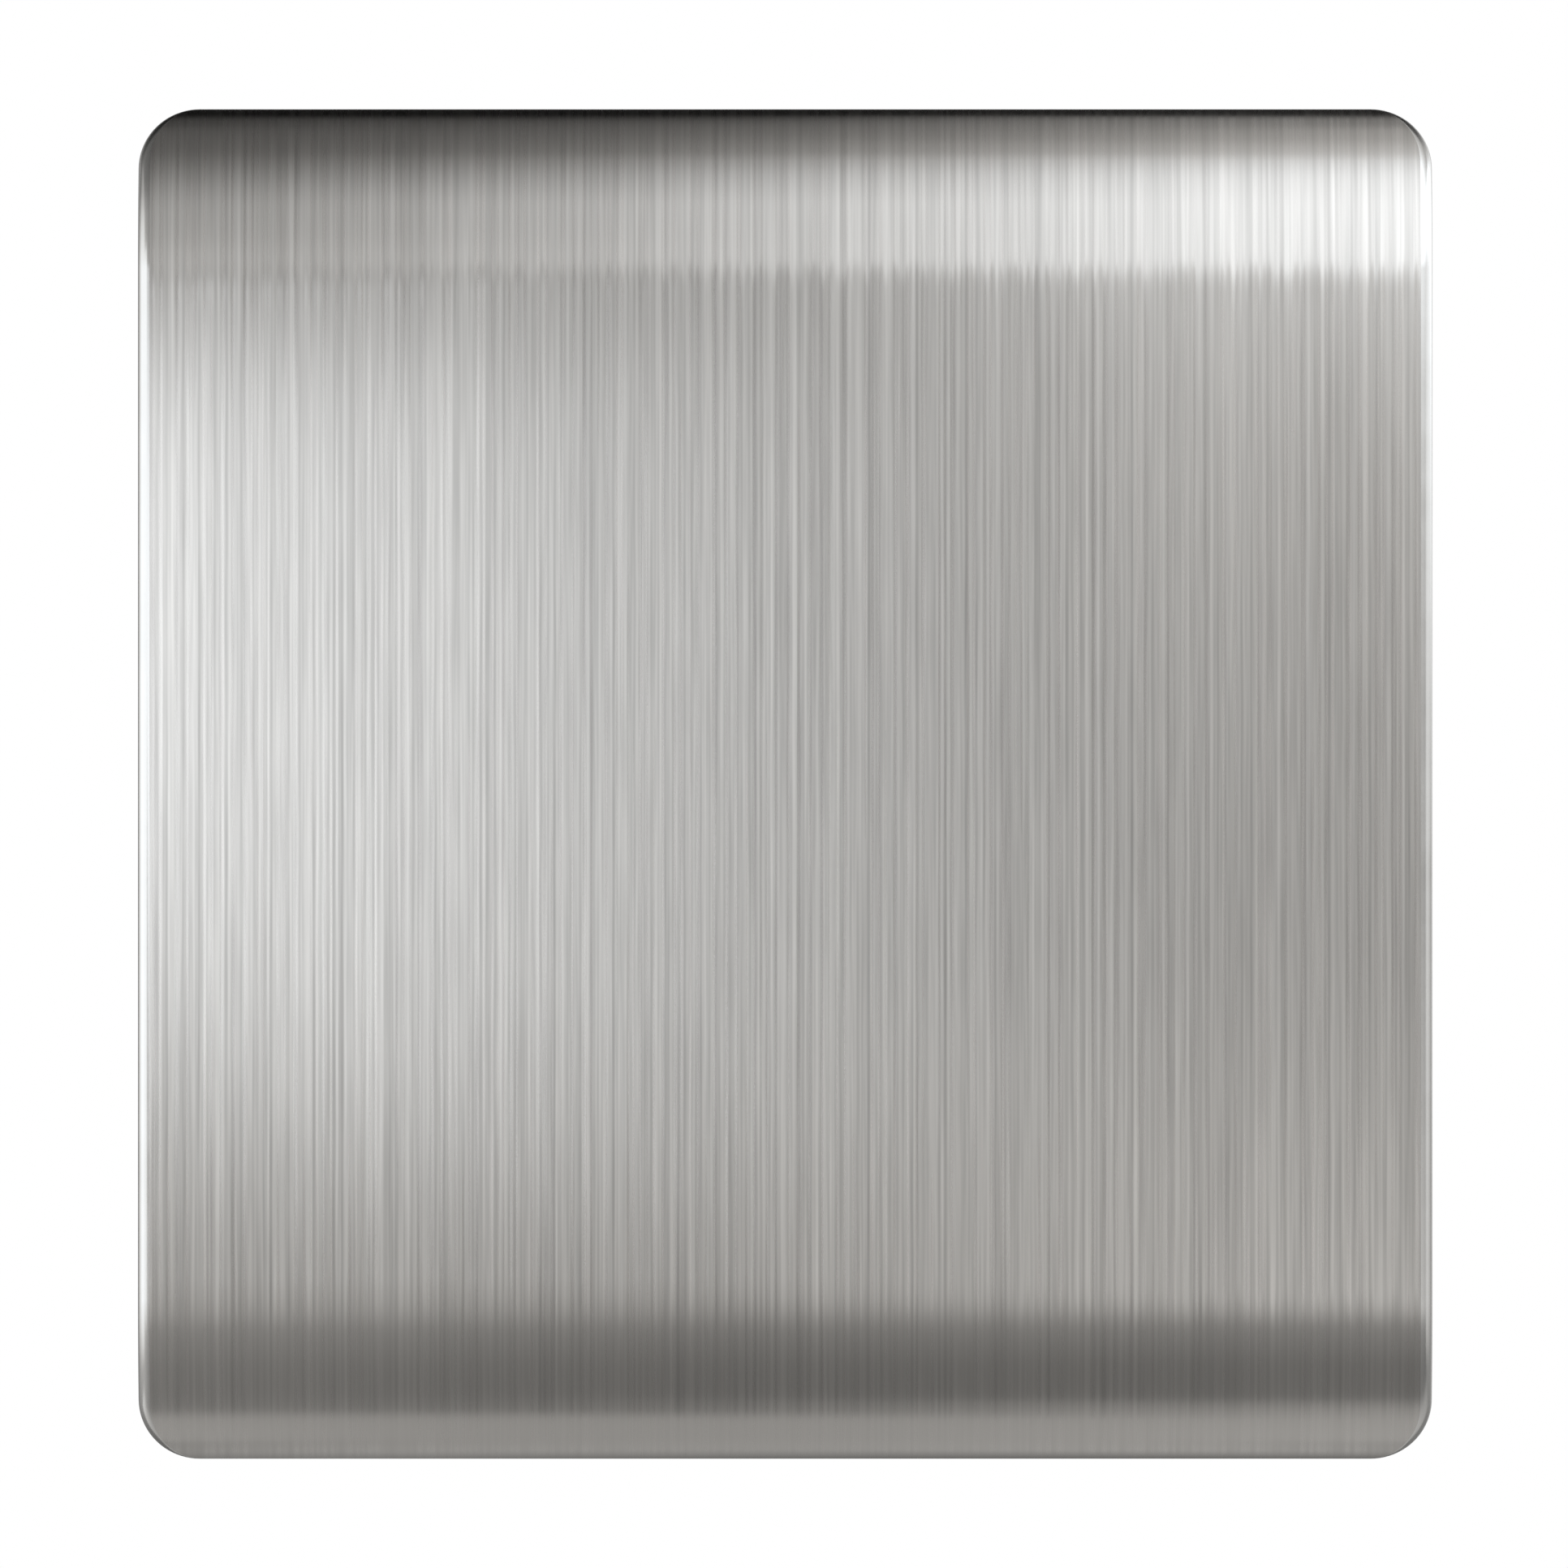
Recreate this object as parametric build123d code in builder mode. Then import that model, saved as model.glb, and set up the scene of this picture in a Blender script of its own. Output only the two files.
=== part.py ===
from build123d import *
from math import sqrt
import os

# One-gang blank wall plate with no screws in sight: a front cover that clips over a mounting
# frame, and two screws that hold the frame to the lugs of a wall box.
# Sizes are in millimetres. The wall is the plane Y = 0, the front faces -Y and +Z is up.
# The origin lies on the wall, midway between the two screws.

# Front cover: a flat face whose top and bottom roll back to a short straight lip at the wall
plate_width = 88.0
plate_height = 92.0
cover_depth = 9.0
cover_wall = 1.8
corner_radius = 4.1
roll_radius = 11.6
lip_depth = 1.2
edge_round = 0.8

# Ribs behind the face, which bear on the frame's raised panel
cover_rib_thickness = 1.0
cover_rib_columns = 3
cover_rib_rows = 3
cover_rib_pitch_x = 22.0
cover_rib_pitch_z = 20.0

# Clip arms behind the face, each with a rounded bead near its tip
clip_pitch = 48.0
clip_width = 8.0
clip_thickness = 1.2
bead_radius = 0.4
bead_clearance = 0.05
bead_gap = 0.15

# Notch in the bottom lip for the blade that lifts the cover off
pry_notch_width = 10.0
pry_notch_depth = 1.0

# Mounting frame: a flat flange round a raised, hollow panel
frame_clearance = 0.4
flange_thickness = 2.0
flange_round = 0.5
panel_front = 5.0
panel_wall = 1.8
panel_side_land = 3.6
panel_end_land = 12.0
panel_corner = 4.0
panel_draft = 5.0
panel_round = 0.6

# Ribs behind the raised panel
frame_rib_thickness = 1.2
frame_rib_columns = 3
frame_rib_rows = 3
frame_rib_pitch_x = 15.0
frame_rib_pitch_z = 18.0
frame_rib_setback = 0.6

# Windows in the flange for the clip arms, each with a catch that the bead sits behind
window_room = 0.4
catch_land = 1.2
catch_thickness = 0.8
catch_relief = 0.9
window_lead_in = 0.3

# Fixing screws, and the wells and slots that they sit in
fixing_centres = 60.3
thread_diameter = 3.5
neck_diameter = 2.9
neck_overrun = 0.3
screw_length = 25.0
tip_chamfer = 0.5
head_diameter = 7.0
head_height = 2.4
head_round = 1.2
drive_slot_width = 1.0
drive_slot_depth = 1.1
head_room = 0.7
well_wall = 1.3
well_round = 0.4
shank_clearance = 0.35
slot_travel = 3.0

# Where the roll starts above the middle, and where its arc would meet the wall
roll_drop = cover_depth - lip_depth
flat_top = plate_height / 2 - sqrt(2 * roll_radius * roll_drop - roll_drop**2)
roll_end = flat_top + sqrt(2 * roll_radius * cover_depth - cover_depth**2)

# The frame fills the cover's hollow at the flange's front face, less the clearance all round
roll_centre_y = roll_radius - cover_depth
roll_inside = sqrt((roll_radius - cover_wall) ** 2 - (roll_centre_y + flange_thickness) ** 2)
frame_top = min(flat_top + roll_inside, plate_height / 2 - cover_wall) - frame_clearance
frame_width = plate_width - 2 * (cover_wall + frame_clearance)
frame_height = 2 * frame_top
frame_corner = corner_radius - cover_wall - frame_clearance
panel_width = frame_width - 2 * panel_side_land
panel_height = frame_height - 2 * panel_end_land

# Height of the catches above the middle, and the clip arms that stand beside them
catch_z = panel_height / 2 + catch_land
clip_inner_z = catch_z + bead_clearance + bead_radius
clip_outer_z = clip_inner_z + clip_thickness
bead_y = catch_thickness - flange_thickness + bead_gap + bead_radius
clip_tip_y = bead_y + bead_radius

# Slots and wells are as wide as the screw needs, and longer by the sideways travel
slot_width = thread_diameter + 2 * shank_clearance
slot_length = slot_width + slot_travel
well_width = head_diameter + 2 * head_room
well_length = well_width + slot_travel

os.makedirs("parts", exist_ok=True)

# Front cover
with BuildPart() as front_cover:
    # Solid form: the side profile, trimmed to the rounded outline of the plate
    with BuildSketch(Plane.YZ):
        with BuildLine():
            face_line = Line((-cover_depth, 0), (-cover_depth, flat_top))
            roll_arc = TangentArc(face_line @ 1, (0, roll_end), tangent=face_line % 1)
            Line(roll_arc @ 1, (0, 0))
            mirror(about=Plane.XZ)
        make_face()
    extrude(amount=plate_width, both=True)
    with BuildSketch(Plane.XZ):
        RectangleRounded(plate_width, plate_height, corner_radius)
    extrude(amount=2 * cover_depth, both=True, mode=Mode.INTERSECT)

    # Even wall, open at the back, with the front edge rounded all the way round
    back_face = front_cover.faces().sort_by(Axis.Y)[-1]
    offset(amount=-cover_wall, openings=back_face)
    skin_faces = front_cover.faces().filter_by(lambda face: face.normal_at().Y < -0.1)
    side_faces = front_cover.faces().filter_by(lambda face: abs(face.normal_at().Y) < 1e-6)
    fillet(skin_faces.edges() & side_faces.edges(), edge_round)

    # Lattice of ribs from the middle of the face's wall to the frame's raised panel
    with BuildSketch(Plane.XZ.offset(panel_front)):
        with GridLocations(cover_rib_pitch_x, 0, cover_rib_columns, 1):
            Rectangle(cover_rib_thickness, 2 * flat_top)
        with GridLocations(0, cover_rib_pitch_z, 1, cover_rib_rows):
            Rectangle(plate_width - cover_wall, cover_rib_thickness)
    extrude(amount=cover_depth - cover_wall / 2 - panel_front)

    # Clip arms with their beads, in a row above and a row below
    for clip_x in (-clip_pitch / 2, clip_pitch / 2):
        with BuildSketch(Plane.YZ.offset(clip_x)):
            with Locations((cover_wall / 2 - cover_depth, clip_inner_z)):
                Rectangle(
                    cover_depth - cover_wall / 2 + clip_tip_y,
                    clip_thickness,
                    align=(Align.MIN, Align.MIN),
                )
            with Locations((bead_y, clip_inner_z)):
                Circle(bead_radius)
            mirror(about=Plane.XZ)
        extrude(amount=clip_width / 2, both=True)

    # Blade notch through the bottom lip
    with BuildSketch(Plane.XZ):
        with Locations((0, -plate_height / 2)):
            Rectangle(pry_notch_width, 2 * (cover_wall + frame_clearance))
    extrude(amount=pry_notch_depth, mode=Mode.SUBTRACT)

# Mounting frame
with BuildPart() as mounting_frame:
    # Flange with a rounded front edge, and the raised panel, hollow behind with a drafted wall
    with BuildSketch(Plane.XZ):
        RectangleRounded(frame_width, frame_height, frame_corner)
    extrude(amount=flange_thickness)
    fillet(mounting_frame.faces().sort_by(Axis.Y)[0].edges(), flange_round)
    with BuildSketch(Plane.XZ.offset(flange_thickness)):
        RectangleRounded(panel_width, panel_height, panel_corner)
    extrude(amount=panel_front - flange_thickness, taper=panel_draft)
    fillet(mounting_frame.faces().sort_by(Axis.Y)[0].edges(), panel_round)
    with BuildSketch(Plane.XZ):
        RectangleRounded(
            panel_width - 2 * panel_wall,
            panel_height - 2 * panel_wall,
            panel_corner - panel_wall,
        )
    extrude(amount=panel_front - panel_wall, taper=panel_draft, mode=Mode.SUBTRACT)

    # Ribs behind the panel
    with BuildSketch(Plane.XZ.offset(frame_rib_setback)):
        with GridLocations(frame_rib_pitch_x, 0, frame_rib_columns, 1):
            Rectangle(frame_rib_thickness, panel_height - panel_wall)
        with GridLocations(0, frame_rib_pitch_z, 1, frame_rib_rows):
            Rectangle(panel_width - panel_wall, frame_rib_thickness)
    extrude(amount=panel_front - panel_wall / 2 - frame_rib_setback)

    # Wells for the screw heads, with a slot through each floor
    with BuildSketch(Plane.XZ):
        with GridLocations(fixing_centres, 0, 2, 1):
            SlotOverall(well_length + 2 * well_wall, well_width + 2 * well_wall)
    extrude(amount=panel_front)
    with BuildSketch(Plane.XZ.offset(flange_thickness)):
        with GridLocations(fixing_centres, 0, 2, 1):
            SlotOverall(well_length, well_width)
    extrude(amount=panel_front, mode=Mode.SUBTRACT)
    panel_face = mounting_frame.faces().sort_by(Axis.Y)[0]
    fillet(panel_face.inner_wires().edges(), well_round)
    with BuildSketch(Plane.XZ):
        with GridLocations(fixing_centres, 0, 2, 1):
            SlotOverall(slot_length, slot_width)
    extrude(amount=panel_front, mode=Mode.SUBTRACT)

    # Clip windows through the flange, eased in front to lead the arms in, and the relief behind each catch
    window_width = clip_width + 2 * window_room
    window_height = clip_outer_z + window_room - catch_z
    with BuildSketch(Plane.XZ):
        with GridLocations(clip_pitch, 2 * catch_z + window_height, 2, 2):
            Rectangle(window_width, window_height)
    extrude(amount=flange_thickness, mode=Mode.SUBTRACT)
    flange_faces = mounting_frame.faces().filter_by_position(Axis.Y, -flange_thickness, -flange_thickness)
    window_rims = flange_faces.sort_by(SortBy.AREA)[-1].inner_wires().sort_by(SortBy.LENGTH)[:-1]
    chamfer(window_rims.edges(), window_lead_in)
    with BuildSketch(Plane.XZ):
        with GridLocations(clip_pitch, 2 * catch_z - catch_relief, 2, 2):
            Rectangle(window_width, catch_relief)
    extrude(amount=flange_thickness - catch_thickness, mode=Mode.SUBTRACT)

# Fixing screw: a pan head, a waisted neck through the frame, and the thread's outer cylinder
with BuildPart() as fixing_screw:
    with BuildSketch(Plane.XY):
        with BuildLine():
            Polyline(
                (0, -flange_thickness - head_height),
                (head_diameter / 2, -flange_thickness - head_height),
                (head_diameter / 2, -flange_thickness),
                (neck_diameter / 2, -flange_thickness),
                (neck_diameter / 2, neck_overrun),
                (thread_diameter / 2, neck_overrun),
                (thread_diameter / 2, screw_length - flange_thickness - tip_chamfer),
                (thread_diameter / 2 - tip_chamfer, screw_length - flange_thickness),
                (0, screw_length - flange_thickness),
                close=True,
            )
        make_face()
    revolve(axis=Axis.Y)
    fillet(fixing_screw.faces().sort_by(Axis.Y)[0].edges(), head_round)
    with BuildSketch(Plane.XZ.offset(flange_thickness + head_height)):
        Rectangle(head_diameter, drive_slot_width)
    extrude(amount=-drive_slot_depth, mode=Mode.SUBTRACT)

with BuildPart() as fixing_screws:
    with Locations((-fixing_centres / 2, 0, 0), (fixing_centres / 2, 0, 0)):
        add(fixing_screw.part)

front_cover.part.label = "front_cover"
export_step(front_cover.part, "parts/front_cover.step")
mounting_frame.part.label = "mounting_frame"
export_step(mounting_frame.part, "parts/mounting_frame.step")
fixing_screws.part.label = "fixing_screws"
export_step(fixing_screws.part, "parts/fixing_screws.step")
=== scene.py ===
import bmesh
import bpy
from math import asin, copysign, cos, radians, sin, sqrt
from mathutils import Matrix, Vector


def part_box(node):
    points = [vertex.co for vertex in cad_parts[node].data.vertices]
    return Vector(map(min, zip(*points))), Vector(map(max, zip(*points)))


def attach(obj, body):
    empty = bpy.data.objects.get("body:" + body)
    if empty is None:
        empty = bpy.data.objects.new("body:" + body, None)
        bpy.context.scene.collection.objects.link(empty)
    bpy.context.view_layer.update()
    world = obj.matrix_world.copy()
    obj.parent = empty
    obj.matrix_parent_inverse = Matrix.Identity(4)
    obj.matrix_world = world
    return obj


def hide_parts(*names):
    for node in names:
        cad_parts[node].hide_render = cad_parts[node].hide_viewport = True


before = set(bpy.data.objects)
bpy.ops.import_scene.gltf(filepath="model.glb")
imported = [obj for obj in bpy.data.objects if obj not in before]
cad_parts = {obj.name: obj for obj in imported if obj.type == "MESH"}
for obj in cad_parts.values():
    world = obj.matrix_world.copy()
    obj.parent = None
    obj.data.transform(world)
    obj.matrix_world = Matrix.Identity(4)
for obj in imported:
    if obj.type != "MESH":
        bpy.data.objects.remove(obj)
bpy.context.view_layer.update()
scene = bpy.context.scene

# Mounting frame
# The carrier behind the cover: a flange round a raised, ribbed panel, moulded in one piece from pale
# grey plastic with a fine matt texture. It lies on the wall, held to the wall box by the two screws.
frame_light_grey = (0.70, 0.70, 0.68, 1)
frame_dark_grey = (0.67, 0.67, 0.65, 1)
frame_gloss = (0.48, 0.56)
mould_grain_per_metre = 4500
mould_grain_detail = 2
mould_grain_height = 0.00004
mould_grain_strength = 0.5
plastic_mottle_per_metre = 120
mottle_detail = 4
mottle_roughness = 0.6
mottle_span = (0.3, 0.7)


def add_node(tree, kind, inputs=None, **settings):
    made = tree.nodes.new("ShaderNode" + kind)
    for name, value in settings.items():
        setattr(made, name, value)
    for name, value in (inputs or {}).items():
        if isinstance(value, bpy.types.NodeSocket):
            tree.links.new(value, made.inputs[name])
        else:
            made.inputs[name].default_value = value
    return made


def new_group(name, given, result):
    tree = bpy.data.node_groups.new(name, "ShaderNodeTree")
    tree.interface.new_socket(given, in_out="INPUT", socket_type="NodeSocketFloat")
    tree.interface.new_socket(result, in_out="OUTPUT", socket_type="NodeSocketFloat")
    entry = tree.nodes.new("NodeGroupInput").outputs[given]
    exit_socket = tree.nodes.new("NodeGroupOutput").inputs[result]
    return tree, entry, exit_socket


def use_group(tree, group, given):
    made = add_node(tree, "Group", node_tree=group)
    made.inputs[0].default_value = given
    return made.outputs[0]


def object_place(tree):
    return add_node(tree, "TexCoord").outputs["Object"]


def stretch(tree, value, low, high, start=0.0, end=1.0):
    span = {"Value": value, "From Min": start, "From Max": end, "To Min": low, "To Max": high}
    return add_node(tree, "MapRange", span).outputs["Result"]


def blend_tones(tree, share, first, second):
    return add_node(tree, "Mix", {0: share, 6: first, 7: second}, data_type="RGBA").outputs[2]


def new_material(name):
    material = bpy.data.materials.new(name)
    material.use_nodes = True
    tree = material.node_tree
    return material, tree, tree.nodes["Principled BSDF"]


# Soft cloudy variation, which every finish but the brushed face has
soft_mottle, mottle_scale, mottle_out = new_group("soft mottle", "Per metre", "Mottle")
clouds = add_node(soft_mottle, "TexNoise", {
    "Vector": object_place(soft_mottle),
    "Scale": mottle_scale,
    "Detail": mottle_detail,
    "Roughness": mottle_roughness,
})
soft_mottle.links.new(stretch(soft_mottle, clouds.outputs["Fac"], 0, 1, *mottle_span), mottle_out)

# Matt grain of a spark eroded mould
mould_grain, grain_scale, grain_out = new_group("mould grain", "Per metre", "Height")
grain_place = object_place(mould_grain)
grains = add_node(mould_grain, "TexNoise", {
    "Vector": grain_place,
    "Scale": grain_scale,
    "Detail": mould_grain_detail,
})
pits = add_node(mould_grain, "TexVoronoi", {"Vector": grain_place, "Scale": grain_scale})
grain_depth = add_node(
    mould_grain, "Math", {0: grains.outputs["Fac"], 1: pits.outputs["Distance"]}, operation="MULTIPLY",
)
mould_grain.links.new(grain_depth.outputs["Value"], grain_out)


def moulded_plastic(name, dark_tone, light_tone, gloss):
    material, tree, surface = new_material(name)
    mottle = use_group(tree, soft_mottle, plastic_mottle_per_metre)
    grain = use_group(tree, mould_grain, mould_grain_per_metre)
    relief = add_node(tree, "Bump", {
        "Height": grain,
        "Strength": mould_grain_strength,
        "Distance": mould_grain_height,
    })
    tree.links.new(blend_tones(tree, mottle, dark_tone, light_tone), surface.inputs["Base Color"])
    tree.links.new(stretch(tree, mottle, *gloss), surface.inputs["Roughness"])
    tree.links.new(relief.outputs["Normal"], surface.inputs["Normal"])
    return material


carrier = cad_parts["mounting_frame"]
frame_plastic = moulded_plastic("frame_plastic", frame_dark_grey, frame_light_grey, frame_gloss)
carrier.data.materials.clear()
carrier.data.materials.append(frame_plastic)

# Fixing screws
# Two steel M3.5 machine screws with a slotted pan head, turned and thread rolled, then bright plated.
# Each goes through its slot in the frame into a lug of the wall box, and its head bears on the flange.
screw_low, screw_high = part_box("fixing_screws")
head_radius = 0.0035
head_height = 0.0024
head_round = 0.0012
head_round_steps = 8
drive_slot_width = 0.0010
drive_slot_depth = 0.0011
neck_radius = 0.00145
neck_overrun = 0.0003
thread_radius = 0.00175
thread_pitch = 0.0006
thread_depth = 0.54 * thread_pitch
thread_flat = thread_pitch / 8
tip_chamfer = 0.0005
tip_chamfer_steps = 1
lead_turns = 2
thread_steps = 32
rod_steps = 64
screw_smooth_angle = 32
screw_x = screw_high.x - head_radius
head_seat_y = screw_low.y + head_height
joint_overlap = 0.0002
merge_distance = thread_flat / 10
trim_tolerance = thread_flat / 100
same_place = 1e-6
plating_light = (0.76, 0.755, 0.735, 1)
plating_dark = (0.68, 0.675, 0.655, 1)
plating_gloss = (0.22, 0.34)
plating_mottle_per_metre = 900


def make_active(piece):
    bpy.ops.object.select_all(action="DESELECT")
    piece.select_set(True)
    bpy.context.view_layer.objects.active = piece


def add_primitive(operator, name, **options):
    bpy.ops.object.select_all(action="DESELECT")
    operator(**options)
    piece = bpy.context.object
    piece.name = name
    piece.data.name = name
    return piece


def apply_place(piece):
    make_active(piece)
    bpy.ops.object.transform_apply(location=True, rotation=True, scale=True)


def add_block(name, low, high):
    middle = [(a + b) / 2 for a, b in zip(low, high)]
    block = add_primitive(bpy.ops.mesh.primitive_cube_add, name, size=1, location=middle)
    block.scale = [b - a for a, b in zip(low, high)]
    apply_place(block)
    return block


def add_rod(name, radius, y_start, y_end):
    rod = add_primitive(
        bpy.ops.mesh.primitive_cylinder_add, name, vertices=rod_steps, radius=radius,
        depth=y_end - y_start, location=(0, (y_start + y_end) / 2, 0), rotation=(radians(90), 0, 0),
    )
    apply_place(rod)
    return rod


def edit(piece):
    make_active(piece)
    bpy.ops.object.mode_set(mode="EDIT")
    bpy.ops.mesh.select_mode(type="EDGE")
    bpy.ops.mesh.select_all(action="DESELECT")


def pick_edges(piece, wanted):
    bpy.ops.mesh.select_all(action="DESELECT")
    form = bmesh.from_edit_mesh(piece.data)
    for edge in form.edges:
        if wanted(edge):
            edge.select_set(True)
    bmesh.update_edit_mesh(piece.data)


def end_edit():
    bpy.ops.object.mode_set(mode="OBJECT")


def near(value, target):
    return abs(value - target) < same_place


def at_y(y):
    return lambda edge: all(near(corner.co.y, y) for corner in edge.verts)


def round_edges(piece, wanted, radius, steps):
    edit(piece)
    pick_edges(piece, wanted)
    bpy.ops.mesh.bevel(offset=radius, segments=steps, affect="EDGES")
    end_edit()


def apply_modifier(piece, modifier):
    make_active(piece)
    bpy.ops.object.modifier_apply(modifier=modifier.name)


def combine(piece, other, operation):
    joining = piece.modifiers.new("joining", "BOOLEAN")
    joining.operation = operation
    joining.object = other
    joining.solver = "EXACT"
    apply_modifier(piece, joining)
    bpy.data.objects.remove(other)


def smooth(piece, angle):
    make_active(piece)
    bpy.ops.object.shade_smooth_by_angle(angle=radians(angle))
    even = piece.modifiers.new("even normals", "WEIGHTED_NORMAL")
    even.mode = "FACE_AREA"
    even.thresh = 0
    even.keep_sharp = True
    apply_modifier(piece, even)


# Head: a pan with its front edge rounded and the slot cut across it
screw = add_rod("fixing_screw_left", head_radius, screw_low.y, head_seat_y)
round_edges(screw, at_y(screw_low.y), head_round, head_round_steps)
slot_cut = add_block(
    "drive_slot", (-2 * head_radius, screw_low.y - head_height, -drive_slot_width / 2),
    (2 * head_radius, screw_low.y + drive_slot_depth, drive_slot_width / 2),
)
combine(screw, slot_cut, "DIFFERENCE")

# Thread: one tooth wound along the shank, trimmed square at both ends, with a chamfered tip
root_radius = thread_radius - thread_depth
flank_run = (thread_pitch - 3 * thread_flat) / 2
tooth = [
    (0, 0, root_radius),
    (0, 2 * thread_flat, root_radius),
    (0, 2 * thread_flat + flank_run, thread_radius),
    (0, 3 * thread_flat + flank_run, thread_radius),
    (0, thread_pitch, root_radius),
]
tooth_mesh = bpy.data.meshes.new("thread")
tooth_start = neck_overrun - lead_turns * thread_pitch
tooth_points = [(x, y + tooth_start, z) for x, y, z in tooth]
tooth_mesh.from_pydata(tooth_points, [(step, step + 1) for step in range(len(tooth) - 1)], [])
thread = bpy.data.objects.new("thread", tooth_mesh)
scene.collection.objects.link(thread)
winding = thread.modifiers.new("winding", "SCREW")
winding.axis = "Y"
winding.screw_offset = thread_pitch
winding.iterations = round((screw_high.y - neck_overrun) / thread_pitch) + 2 * lead_turns
winding.steps = thread_steps
winding.render_steps = thread_steps
apply_modifier(thread, winding)
edit(thread)
bpy.ops.mesh.select_all(action="SELECT")
bpy.ops.mesh.remove_doubles(threshold=merge_distance)
for trim_y, away in ((neck_overrun - joint_overlap, -1), (screw_high.y + joint_overlap, 1)):
    bpy.ops.mesh.select_all(action="SELECT")
    bpy.ops.mesh.bisect(
        plane_co=(0, trim_y, 0), plane_no=(0, away, 0), use_fill=True, clear_outer=True,
        threshold=trim_tolerance,
    )
bpy.ops.mesh.select_all(action="SELECT")
bpy.ops.mesh.normals_make_consistent(inside=False)
end_edit()
blank = add_rod("thread_blank", thread_radius + joint_overlap, 0, screw_high.y)
round_edges(blank, at_y(screw_high.y), tip_chamfer + joint_overlap, tip_chamfer_steps)
combine(thread, blank, "INTERSECT")

# Neck, and the whole screw as one closed mesh
neck = add_rod("neck", neck_radius, head_seat_y - joint_overlap, neck_overrun)
combine(screw, neck, "UNION")
combine(screw, thread, "UNION")
smooth(screw, screw_smooth_angle)


def plain_steel(name, mottle_per_metre, dark_tone, light_tone, gloss):
    material, tree, surface = new_material(name)
    mottle = use_group(tree, soft_mottle, mottle_per_metre)
    tree.links.new(blend_tones(tree, mottle, dark_tone, light_tone), surface.inputs["Base Color"])
    tree.links.new(stretch(tree, mottle, *gloss), surface.inputs["Roughness"])
    surface.inputs["Metallic"].default_value = 1
    return material


screw.data.materials.append(
    plain_steel("plated_steel", plating_mottle_per_metre, plating_dark, plating_light, plating_gloss)
)

other_screw = screw.copy()
other_screw.data = screw.data.copy()
other_screw.name = "fixing_screw_right"
other_screw.data.name = "fixing_screw_right"
scene.collection.objects.link(other_screw)
for piece, side in ((screw, -1), (other_screw, 1)):
    piece.location.x = side * screw_x
    apply_place(piece)
    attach(piece, "base")
    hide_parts("fixing_screws")

# Front cover
# The plate that shows: one moulded shell with a brushed steel finish, flat in front and rolled back at
# top and bottom, with ribs and clip arms behind the face. It snaps over the mounting frame.
cover_low, cover_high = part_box("front_cover")
plate_width = cover_high.x - cover_low.x
plate_height = cover_high.z - cover_low.z
face_y = cover_low.y
cover_wall = 0.0018
corner_radius = 0.0041
roll_radius = 0.0116
lip_depth = 0.0012
edge_round = 0.0008
side_steps = 18
corner_steps = 20
edge_steps = 6
cover_smooth_angle = 35
roll_axis_y = face_y + roll_radius
roll_drop = -face_y - lip_depth
flat_top = plate_height / 2 - sqrt(2 * roll_radius * roll_drop - roll_drop**2)

rib_thickness = 0.0010
rib_back_y = -0.0050
rib_column_pitch = 0.0220
rib_row_pitch = 0.0200
rib_edge_round = 0.00025
rib_round_steps = 2
root_y = face_y + cover_wall / 2
clip_x = 0.0240
clip_width = 0.0080
clip_inner_z = 0.032943
clip_thickness = 0.0012
clip_tip_y = -0.00025
clip_tip_round = 0.0003
clip_round_steps = 3
bead_radius = 0.0004
bead_steps = 24
notch_width = 0.0100
notch_depth = 0.0010

steel_light = (0.690, 0.664, 0.627, 1)
steel_dark = (0.280, 0.2695, 0.2545, 1)
steel_gloss = (0.25, 0.32)
steel_brushing = 0.90
middle_tone = 0.5
noise_span = (0.3, 0.7)
gloss_marks = (2600, 5)
lean_marks = (3300, 6)
score_marks = (1500, 3)
score_span = (0.66, 0.76)
score_share = 0.12
face_lean = 0.005
bend_lean = 0.022
bend_reach = 0.0030
bend_ease = 0.0018
lower_fade = (-0.0372, -0.0353)
lower_bite = 0.5
lower_lip_fade = (-0.0435, -0.0405)
lower_lip_bite = 0.1
upper_fade = (0.010, 0.030)
upper_bite = 0.76
upper_lip_fade = (0.041, 0.043)
upper_lip_bite = 0.5
brush_layers = {
    "long strokes": ((2700, 4), 0.21),
    "short strokes": ((2400, 25), 0.17),
    "hairs": ((5200, 8), 0.22),
    "nicks": ((6200, 130), 0.14),
    "soft bands": ((420, 10), 0.06),
}
rim_light = (0.57, 0.56, 0.54, 1)
rim_dark = (0.53, 0.52, 0.50, 1)
rim_gloss = (0.20, 0.26)
rim_mottle_per_metre = 250
side_light = (0.48, 0.47, 0.455, 1)
side_dark = (0.44, 0.43, 0.415, 1)
side_gloss = (0.42, 0.48)
inside_light = (0.115, 0.115, 0.118, 1)
inside_dark = (0.090, 0.090, 0.093, 1)
inside_gloss = (0.42, 0.55)


def brush_marks(tree, place, per_metre):
    across, along = per_metre
    lay = add_node(tree, "Mapping", {"Vector": place, "Scale": (across, 0, along)})
    marks = add_node(tree, "TexNoise", {"Vector": lay.outputs["Vector"], "Scale": 1, "Detail": 0})
    return marks.outputs["Fac"]


def combine_values(tree, operation, first, second=0.0):
    return add_node(tree, "Math", {0: first, 1: second}, operation=operation).outputs["Value"]


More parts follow.
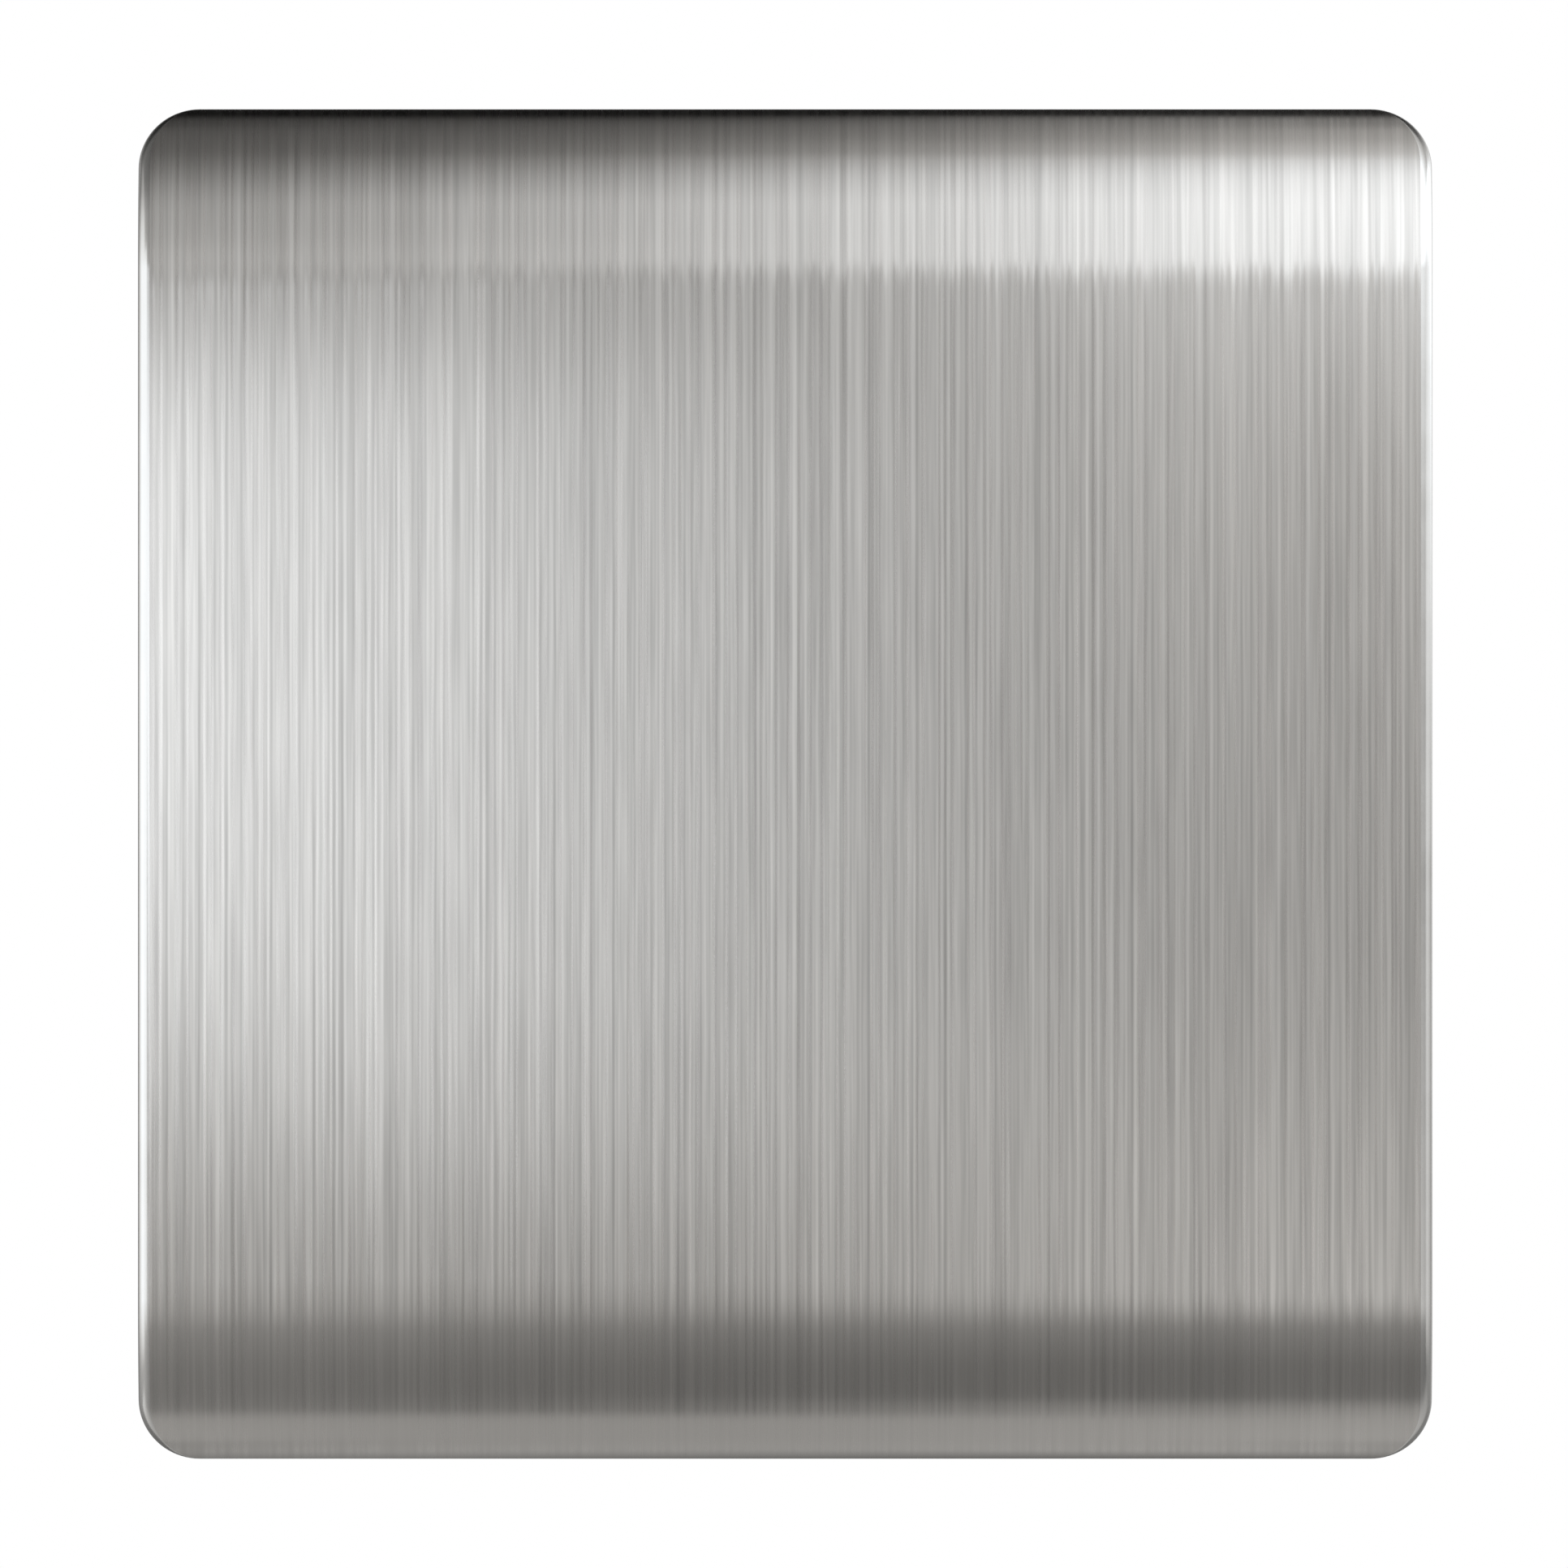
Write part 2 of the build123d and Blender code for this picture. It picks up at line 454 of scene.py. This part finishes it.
def brushed_steel(name):
    material, tree, surface = new_material(name)
    place = object_place(tree)
    height = add_node(tree, "SeparateXYZ", {"Vector": place}).outputs["Z"]

    # The belt bites less high on the face and past the lower bend, and less again towards each lip
    past_bend = stretch(tree, height, lower_bite, 1, *lower_fade)
    high_face = stretch(tree, height, 1, upper_bite, *upper_fade)
    lower_lip = stretch(tree, height, lower_lip_bite, 1, *lower_lip_fade)
    upper_lip = stretch(tree, height, 1, upper_lip_bite, *upper_lip_fade)
    lip_bite = combine_values(tree, "MINIMUM", lower_lip, upper_lip)
    face_bite = combine_values(tree, "MINIMUM", past_bend, high_face)
    bite = combine_values(tree, "MINIMUM", face_bite, lip_bite)
    mix = stretch(tree, brush_marks(tree, place, score_marks), 0, -score_share, *score_span)
    for per_metre, share in brush_layers.values():
        marks = stretch(tree, brush_marks(tree, place, per_metre), -share / 2, share / 2, *noise_span)
        mix = combine_values(tree, "ADD", mix, marks)
    tone = combine_values(tree, "ADD", combine_values(tree, "MULTIPLY", mix, bite), middle_tone)
    tree.links.new(blend_tones(tree, tone, steel_dark, steel_light), surface.inputs["Base Color"])
    gloss = stretch(tree, brush_marks(tree, place, gloss_marks), *steel_gloss, *noise_span)
    tree.links.new(gloss, surface.inputs["Roughness"])

    # Each stroke leans a little up or down, most at the bends, so that reflections end raggedly
    from_bend = combine_values(tree, "SUBTRACT", combine_values(tree, "ABSOLUTE", height), flat_top)
    from_bend = combine_values(tree, "ABSOLUTE", from_bend)
    lean = stretch(tree, brush_marks(tree, place, lean_marks), -1, 1, *noise_span)
    most_lean = stretch(tree, from_bend, bend_lean, face_lean, 0, bend_reach)
    lean = combine_values(tree, "MULTIPLY", lean, most_lean)
    lean = combine_values(tree, "MULTIPLY", lean, lip_bite)

    # Each bend starts softly, as the face leans a little before it
    near_bend = stretch(tree, from_bend, 1, 0, 0, bend_ease)
    ease = combine_values(tree, "POWER", near_bend, 2)
    ease = combine_values(tree, "MULTIPLY", ease, bend_ease / (4 * roll_radius))
    ease = combine_values(tree, "MULTIPLY", ease, combine_values(tree, "SIGN", height))
    tilt = combine_values(tree, "ADD", lean, ease)
    tilted = add_node(tree, "VectorMath", {
        0: add_node(tree, "NewGeometry").outputs["Normal"],
        1: add_node(tree, "CombineXYZ", {"Z": tilt}).outputs["Vector"],
    }, operation="ADD")
    upright = add_node(tree, "VectorMath", {0: tilted.outputs["Vector"]}, operation="NORMALIZE")
    tree.links.new(upright.outputs["Vector"], surface.inputs["Normal"])
    across = add_node(tree, "CombineXYZ", {"X": 1})
    tree.links.new(across.outputs["Vector"], surface.inputs["Tangent"])
    surface.inputs["Metallic"].default_value = 1
    surface.inputs["Anisotropic"].default_value = steel_brushing
    return material


FACE, RIM, SIDE, INSIDE = range(4)
cover_finishes = (
    brushed_steel("brushed_face"),
    plain_steel("polished_rim", rim_mottle_per_metre, rim_dark, rim_light, rim_gloss),
    plain_steel("satin_side", rim_mottle_per_metre, side_dark, side_light, side_gloss),
    moulded_plastic("cover_inside", inside_dark, inside_light, inside_gloss),
)


def give_finish(piece, finish):
    for face in piece.data.polygons:
        face.material_index = finish


def roll_depth(z, inset):
    radius = roll_radius - inset
    return roll_axis_y - sqrt(radius**2 - max(abs(z) - flat_top, 0) ** 2)


def side_outline():
    corner_x = plate_width / 2 - corner_radius
    corner_z = plate_height / 2 - corner_radius
    corner_lean = asin((corner_z - flat_top) / roll_radius)
    points = []
    for step in range(side_steps):
        lean = corner_lean * step / side_steps
        side_place = Vector((plate_width / 2, 0, flat_top + roll_radius * sin(lean)))
        points.append((side_place, Vector((1, 0, 0))))
    for step in range(corner_steps + 1):
        turn = radians(90) * step / corner_steps
        outward = Vector((cos(turn), 0, sin(turn)))
        points.append((Vector((corner_x, 0, corner_z)) + corner_radius * outward, outward))
    down = Vector((1, 1, -1))
    return [(place * down, outward * down) for place, outward in reversed(points)] + points


def wall_section(place, outward):
    """Points from the face round the edge and the lip to the inside, at one place of the outline."""
    centre = place - edge_round * outward
    centre.y = roll_depth(centre.z, edge_round)
    lean = max(abs(centre.z) - flat_top, 0) / (roll_radius - edge_round)
    facing = Vector((0, -sqrt(1 - lean**2), copysign(lean, centre.z)))
    section = []
    for step in range(edge_steps + 1):
        section.append(centre + edge_round * facing.slerp(outward, step / edge_steps))
    inner = place - cover_wall * outward
    section += [place, inner, Vector((inner.x, roll_depth(inner.z, cover_wall), inner.z))]
    return section


# Shell: rows across the face and its rolls, with a section of the wall at each row's two ends
right_points = [wall_section(place, outward) for place, outward in side_outline()]
left_points = [[Vector((-point.x, point.y, point.z)) for point in section] for section in right_points]
form = bmesh.new()
right_side = [[form.verts.new(point) for point in section] for section in right_points]
left_side = [[form.verts.new(point) for point in section] for section in left_points]
ring = right_side + left_side[::-1]
section_finishes = [RIM] * edge_steps + [SIDE, INSIDE, INSIDE]
for first, second in zip(ring, ring[1:] + ring[:1]):
    for step, finish in enumerate(section_finishes):
        strip = form.faces.new((first[step], second[step], second[step + 1], first[step + 1]))
        strip.material_index = finish
for row in range(len(right_side) - 1):
    for end, finish in ((0, FACE), (-1, INSIDE)):
        lower = (right_side[row][end], left_side[row][end])
        upper = (left_side[row + 1][end], right_side[row + 1][end])
        form.faces.new(lower + upper).material_index = finish
bmesh.ops.recalc_face_normals(form, faces=form.faces)
cover_mesh = bpy.data.meshes.new("front_cover_shell")
form.to_mesh(cover_mesh)
form.free()
cover = bpy.data.objects.new("front_cover_shell", cover_mesh)
scene.collection.objects.link(cover)
for finish in cover_finishes:
    cover_mesh.materials.append(finish)

# Ribs behind the face, with eased back edges
rib_boxes = []
for step in (-1, 0, 1):
    column_x = step * rib_column_pitch
    row_z = step * rib_row_pitch
    rib_boxes.append(((column_x, 0), (rib_thickness / 2, flat_top)))
    rib_boxes.append(((0, row_z), (plate_width / 2 - cover_wall / 2, rib_thickness / 2)))
for (x, z), (half_x, half_z) in rib_boxes:
    rib = add_block("rib", (x - half_x, root_y, z - half_z), (x + half_x, rib_back_y, z + half_z))
    round_edges(rib, at_y(rib_back_y), rib_edge_round, rib_round_steps)
    give_finish(rib, INSIDE)
    combine(cover, rib, "UNION")

# Clip arms, each with a bead near its tip
for side_x in (-1, 1):
    for side_z in (-1, 1):
        x = side_x * clip_x
        z_edges = sorted((side_z * clip_inner_z, side_z * (clip_inner_z + clip_thickness)))
        arm_low = (x - clip_width / 2, root_y, z_edges[0])
        arm_high = (x + clip_width / 2, clip_tip_y, z_edges[1])
        arm = add_block("clip_arm", arm_low, arm_high)
        round_edges(arm, at_y(clip_tip_y), clip_tip_round, clip_round_steps)
        bead = add_primitive(
            bpy.ops.mesh.primitive_cylinder_add, "bead", vertices=bead_steps, radius=bead_radius,
            depth=clip_width, location=(x, clip_tip_y - bead_radius, side_z * clip_inner_z),
            rotation=(0, radians(90), 0),
        )
        apply_place(bead)
        combine(arm, bead, "UNION")
        give_finish(arm, INSIDE)
        combine(cover, arm, "UNION")

# Blade notch in the bottom lip
notch = add_block(
    "notch", (-notch_width / 2, -notch_depth, 2 * cover_low.z),
    (notch_width / 2, notch_depth, cover_low.z + 2 * cover_wall),
)
give_finish(notch, INSIDE)
combine(cover, notch, "DIFFERENCE")
smooth(cover, cover_smooth_angle)
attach(cover, "cover")
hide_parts("front_cover")

# Studio
# A white room with soft lamps, a pale floor well below, and a small light tent round the plate with a
# softbox, a strip and four corner cards. The tent shows only in reflections, as the steel mirrors it.
photo_width_px = 1932
plate_width_px = 1595
plate_centre_px = 967.5
camera_distance = 2.5
camera_reach = 20
floor_z = -0.30
floor_size = 8
floor_tone = (0.85, 0.85, 0.85, 1)
floor_gloss = 0.7
room_tone = (1, 1, 1, 1)
room_levels = (0.40, 1.0)
lamp_width = 1.2
tent_width = 0.40
tent_radius = 0.14
tent_left_gain = 2.2
tent_right_gain = 0.75
tent_back_angle = 150
tent_fan = 4

scene.view_settings.view_transform = "Standard"


def seen_directly(tree):
    path = add_node(tree, "LightPath").outputs
    either = combine_values(tree, "MAXIMUM", path["Is Camera Ray"], path["Is Glossy Ray"])
    return combine_values(tree, "MAXIMUM", either, path["Is Transmission Ray"])


room = bpy.data.worlds.new("white_room")
room.use_nodes = True
scene.world = room
sky = room.node_tree.nodes["Background"]
room_strength = stretch(room.node_tree, seen_directly(room.node_tree), *room_levels)
room.node_tree.links.new(room_strength, sky.inputs["Strength"])
sky.inputs["Color"].default_value = room_tone

floor = add_primitive(
    bpy.ops.mesh.primitive_plane_add, "floor", size=floor_size, location=(0, 0, floor_z),
)
pale_floor, tree, surface = new_material("pale_floor")
surface.inputs["Base Color"].default_value = floor_tone
surface.inputs["Roughness"].default_value = floor_gloss
floor.data.materials.append(pale_floor)

lamp_places = (
    ("key_lamp", (-1.4, -2.0, 1.8), 50),
    ("fill_lamp", (1.8, -1.4, 0.6), 20),
    ("back_lamp", (0.8, 2.2, 1.4), 36),
)
for name, place, power in lamp_places:
    bpy.ops.object.light_add(type="AREA", location=place)
    lamp = bpy.context.object
    lamp.name = name
    lamp.data.size = lamp_width
    lamp.data.energy = power
    lamp.rotation_euler = (-lamp.location).to_track_quat("-Z", "Y").to_euler()
    lamp.visible_glossy = False

# Light tent: a wrap round the plate from its top back over the front to its bottom back, two end walls
# and a back. The wrap's rows go by side and angle from straight ahead, and each has a brightness at the
# left, in the middle and at the right.
wrap_rows = (
    (1, tent_back_angle, (0.035, 0.04, 0.03)),
    (1, 128, (0, 0, 0.02)),
    (1, 120, (0.135, 0.095, 0.64)),
    (1, 98, (0.145, 0.19, 0.89)),
    (1, 85, (0.14, 0.195, 1.32)),
    (1, 74, (0.16, 0.345, 2.16)),
    (1, 63, (0.205, 0.52, 2.54)),
    (1, 45, (0.33, 0.76, 2.68)),
    (1, 5, (0.52, 0.64, 2.58)),
    (1, 2, (0.47, 0.17, 1.60)),
    (0.6, 0, (0.515, 0.32, 0.85)),
    (-0.4, 0, (0.55, 0.475, 0.565)),
    (-1, 3, (0.60, 0.31, 1.10)),
    (-1, 18, (0.415, 0.225, 0.45)),
    (-1, 45, (0.345, 0.16, 0.305)),
    (-1, 70, (0.315, 0.14, 0.30)),
    (-1, 80, (0.32, 0.16, 0.64)),
    (-1, 89, (0.53, 0.51, 0.69)),
    (-1, 125, (0.67, 0.545, 0.76)),
    (-1, 138, (0.40, 0.23, 0.23)),
    (-1, tent_back_angle, (0.12, 0.10, 0.10)),
)
end_walls = (
    ("tent_left", -1, (-0.25, -0.13, -0.012, 0.015, 0.09, 0.13, 0.25), (
        (-0.14, (0.55, 1.90, 1.30, 0.75)),
        (-0.02, (0.58, 1.98, 1.15, 0.70)),
        (0.02, (0.58, 1.66, 1.05, 0.60)),
        (0.08, (0.50, 1.20, 0.50, 0.25)),
        (0.15, (0.45, 0.80, 0.40, 0.20)),
    )),
    ("tent_right", 1, (-0.25, -0.12, -0.033, -0.005, 0.037, 0.055, 0.25), (
        (-0.14, (0.40, 0.95, 1.35, 1.90)),
        (-0.06, (0.40, 1.06, 1.60, 2.20)),
        (0.00, (0.40, 0.84, 1.72, 2.30)),
        (0.08, (0.40, 0.50, 1.75, 2.30)),
        (0.15, (0.35, 0.40, 1.70, 2.00)),
    )),
)
back_levels = (
    (-1, (0.4, 0.2, 0.2, 0.3)),
    (1, (0.6, 0.3, 0.3, 2.0)),
)
softbox_distance = 0.130
softbox_level = 1.97
softbox_corners = ((-0.110, 0.034), (-0.020, 0.030), (-0.017, -0.034), (-0.110, 0.004))
strip_distance = 0.128
strip_edges = (-0.199, -0.105)
strip_rows = ((0.12, 0.8), (0.03, 1.9), (-0.01, 1.85), (-0.12, 0.5))
corner_card_radius = 0.135
corner_card_angles = (112, tent_back_angle)
corner_card_edges = (0.052, 0.088, 0.199)
corner_cards = (
    ("upper_left_card", -1, 1, (0, 0.04, 0.25)),
    ("upper_right_card", 1, 1, (0, 0.12, 1.60)),
    ("lower_left_card", -1, -1, (0.18, 0.22, 0.50)),
    ("lower_right_card", 1, -1, (0.26, 0.28, 0.40)),
)
dim_tint = (1, 1, 1, 1)
bright_tint = (0.955, 1, 1.055, 1)
bright_levels = (0.8, 2.0)

tent_light, tree, surface = new_material("tent_light")
tent_light.cycles.emission_sampling = "NONE"
tree.nodes.remove(surface)
level = add_node(tree, "Attribute", attribute_name="level").outputs["Fac"]
tint = blend_tones(tree, stretch(tree, level, 0, 1, *bright_levels), dim_tint, bright_tint)
glow = add_node(tree, "Emission", {"Color": tint, "Strength": level})
tree.links.new(glow.outputs["Emission"], tree.nodes["Material Output"].inputs["Surface"])


def add_light_sheet(name, rows):
    """A sheet that shows only in reflections, from rows of (place, level)."""
    width = len(rows[0])
    corners = []
    for row in range(len(rows) - 1):
        for step in range(row * width, row * width + width - 1):
            corners.append((step, step + 1, step + 1 + width, step + width))
    mesh = bpy.data.meshes.new(name)
    mesh.from_pydata([place for row in rows for place, level in row], [], corners)
    levels = [level for row in rows for place, level in row]
    mesh.attributes.new("level", "FLOAT", "POINT").data.foreach_set("value", levels)
    mesh.materials.append(tent_light)
    sheet = bpy.data.objects.new(name, mesh)
    scene.collection.objects.link(sheet)
    sheet.visible_camera = False
    sheet.visible_diffuse = False
    sheet.visible_shadow = False
    sheet.visible_transmission = False


rows = []
for side, angle, (left, middle, right) in wrap_rows:
    y = -tent_radius * cos(radians(angle))
    z = side * (flat_top + tent_radius * sin(radians(angle)))
    columns = (
        (-tent_width / 2, left * tent_left_gain),
        (-plate_width / 2, left),
        (0, middle),
        (plate_width / 2, right),
        (tent_width / 2, right * tent_right_gain),
    )
    rows.append([((x, y, z), level) for x, level in columns])
add_light_sheet("tent_wrap", rows)
for name, side, heights, columns in end_walls:
    rows = []
    for y, (low, middle, high, top) in columns:
        levels = (low, low, middle, middle, high, top, top)
        fan = 1 - tent_fan * y
        rows.append([((side * tent_width / 2, y, z * fan), level) for z, level in zip(heights, levels)])
    add_light_sheet(name, rows)
back_y = -tent_radius * cos(radians(tent_back_angle))
back_z = flat_top + tent_radius * sin(radians(tent_back_angle))
back_x = (-tent_width / 2, -plate_width / 2, plate_width / 2, tent_width / 2)
rows = []
for side, levels in back_levels:
    rows.append([((x, back_y, side * back_z), level) for x, level in zip(back_x, levels)])
add_light_sheet("tent_back", rows)
for name, side_x, side_z, levels in corner_cards:
    rows = []
    for angle in corner_card_angles:
        y = -corner_card_radius * cos(radians(angle))
        z = side_z * (flat_top + corner_card_radius * sin(radians(angle)))
        rows.append([((side_x * x, y, z), level) for x, level in zip(corner_card_edges, levels)])
    add_light_sheet(name, rows)
panel = [((x, -softbox_distance, z), softbox_level) for x, z in softbox_corners]
add_light_sheet("left_softbox", [panel[:2], panel[:1:-1]])
rows = [[((x, -strip_distance, z), level) for x in strip_edges] for z, level in strip_rows]
add_light_sheet("left_strip", rows)

# Camera straight in front
metres_per_px = plate_width / plate_width_px
camera_x = -(plate_centre_px - photo_width_px / 2) * metres_per_px
bpy.ops.object.camera_add(location=(camera_x, -camera_distance, 0), rotation=(radians(90), 0, 0))
camera = bpy.context.object
camera.data.clip_end = camera_reach
outline_distance = camera_distance + face_y + edge_round
camera.data.lens = camera.data.sensor_width * outline_distance / (photo_width_px * metres_per_px)
scene.camera = camera
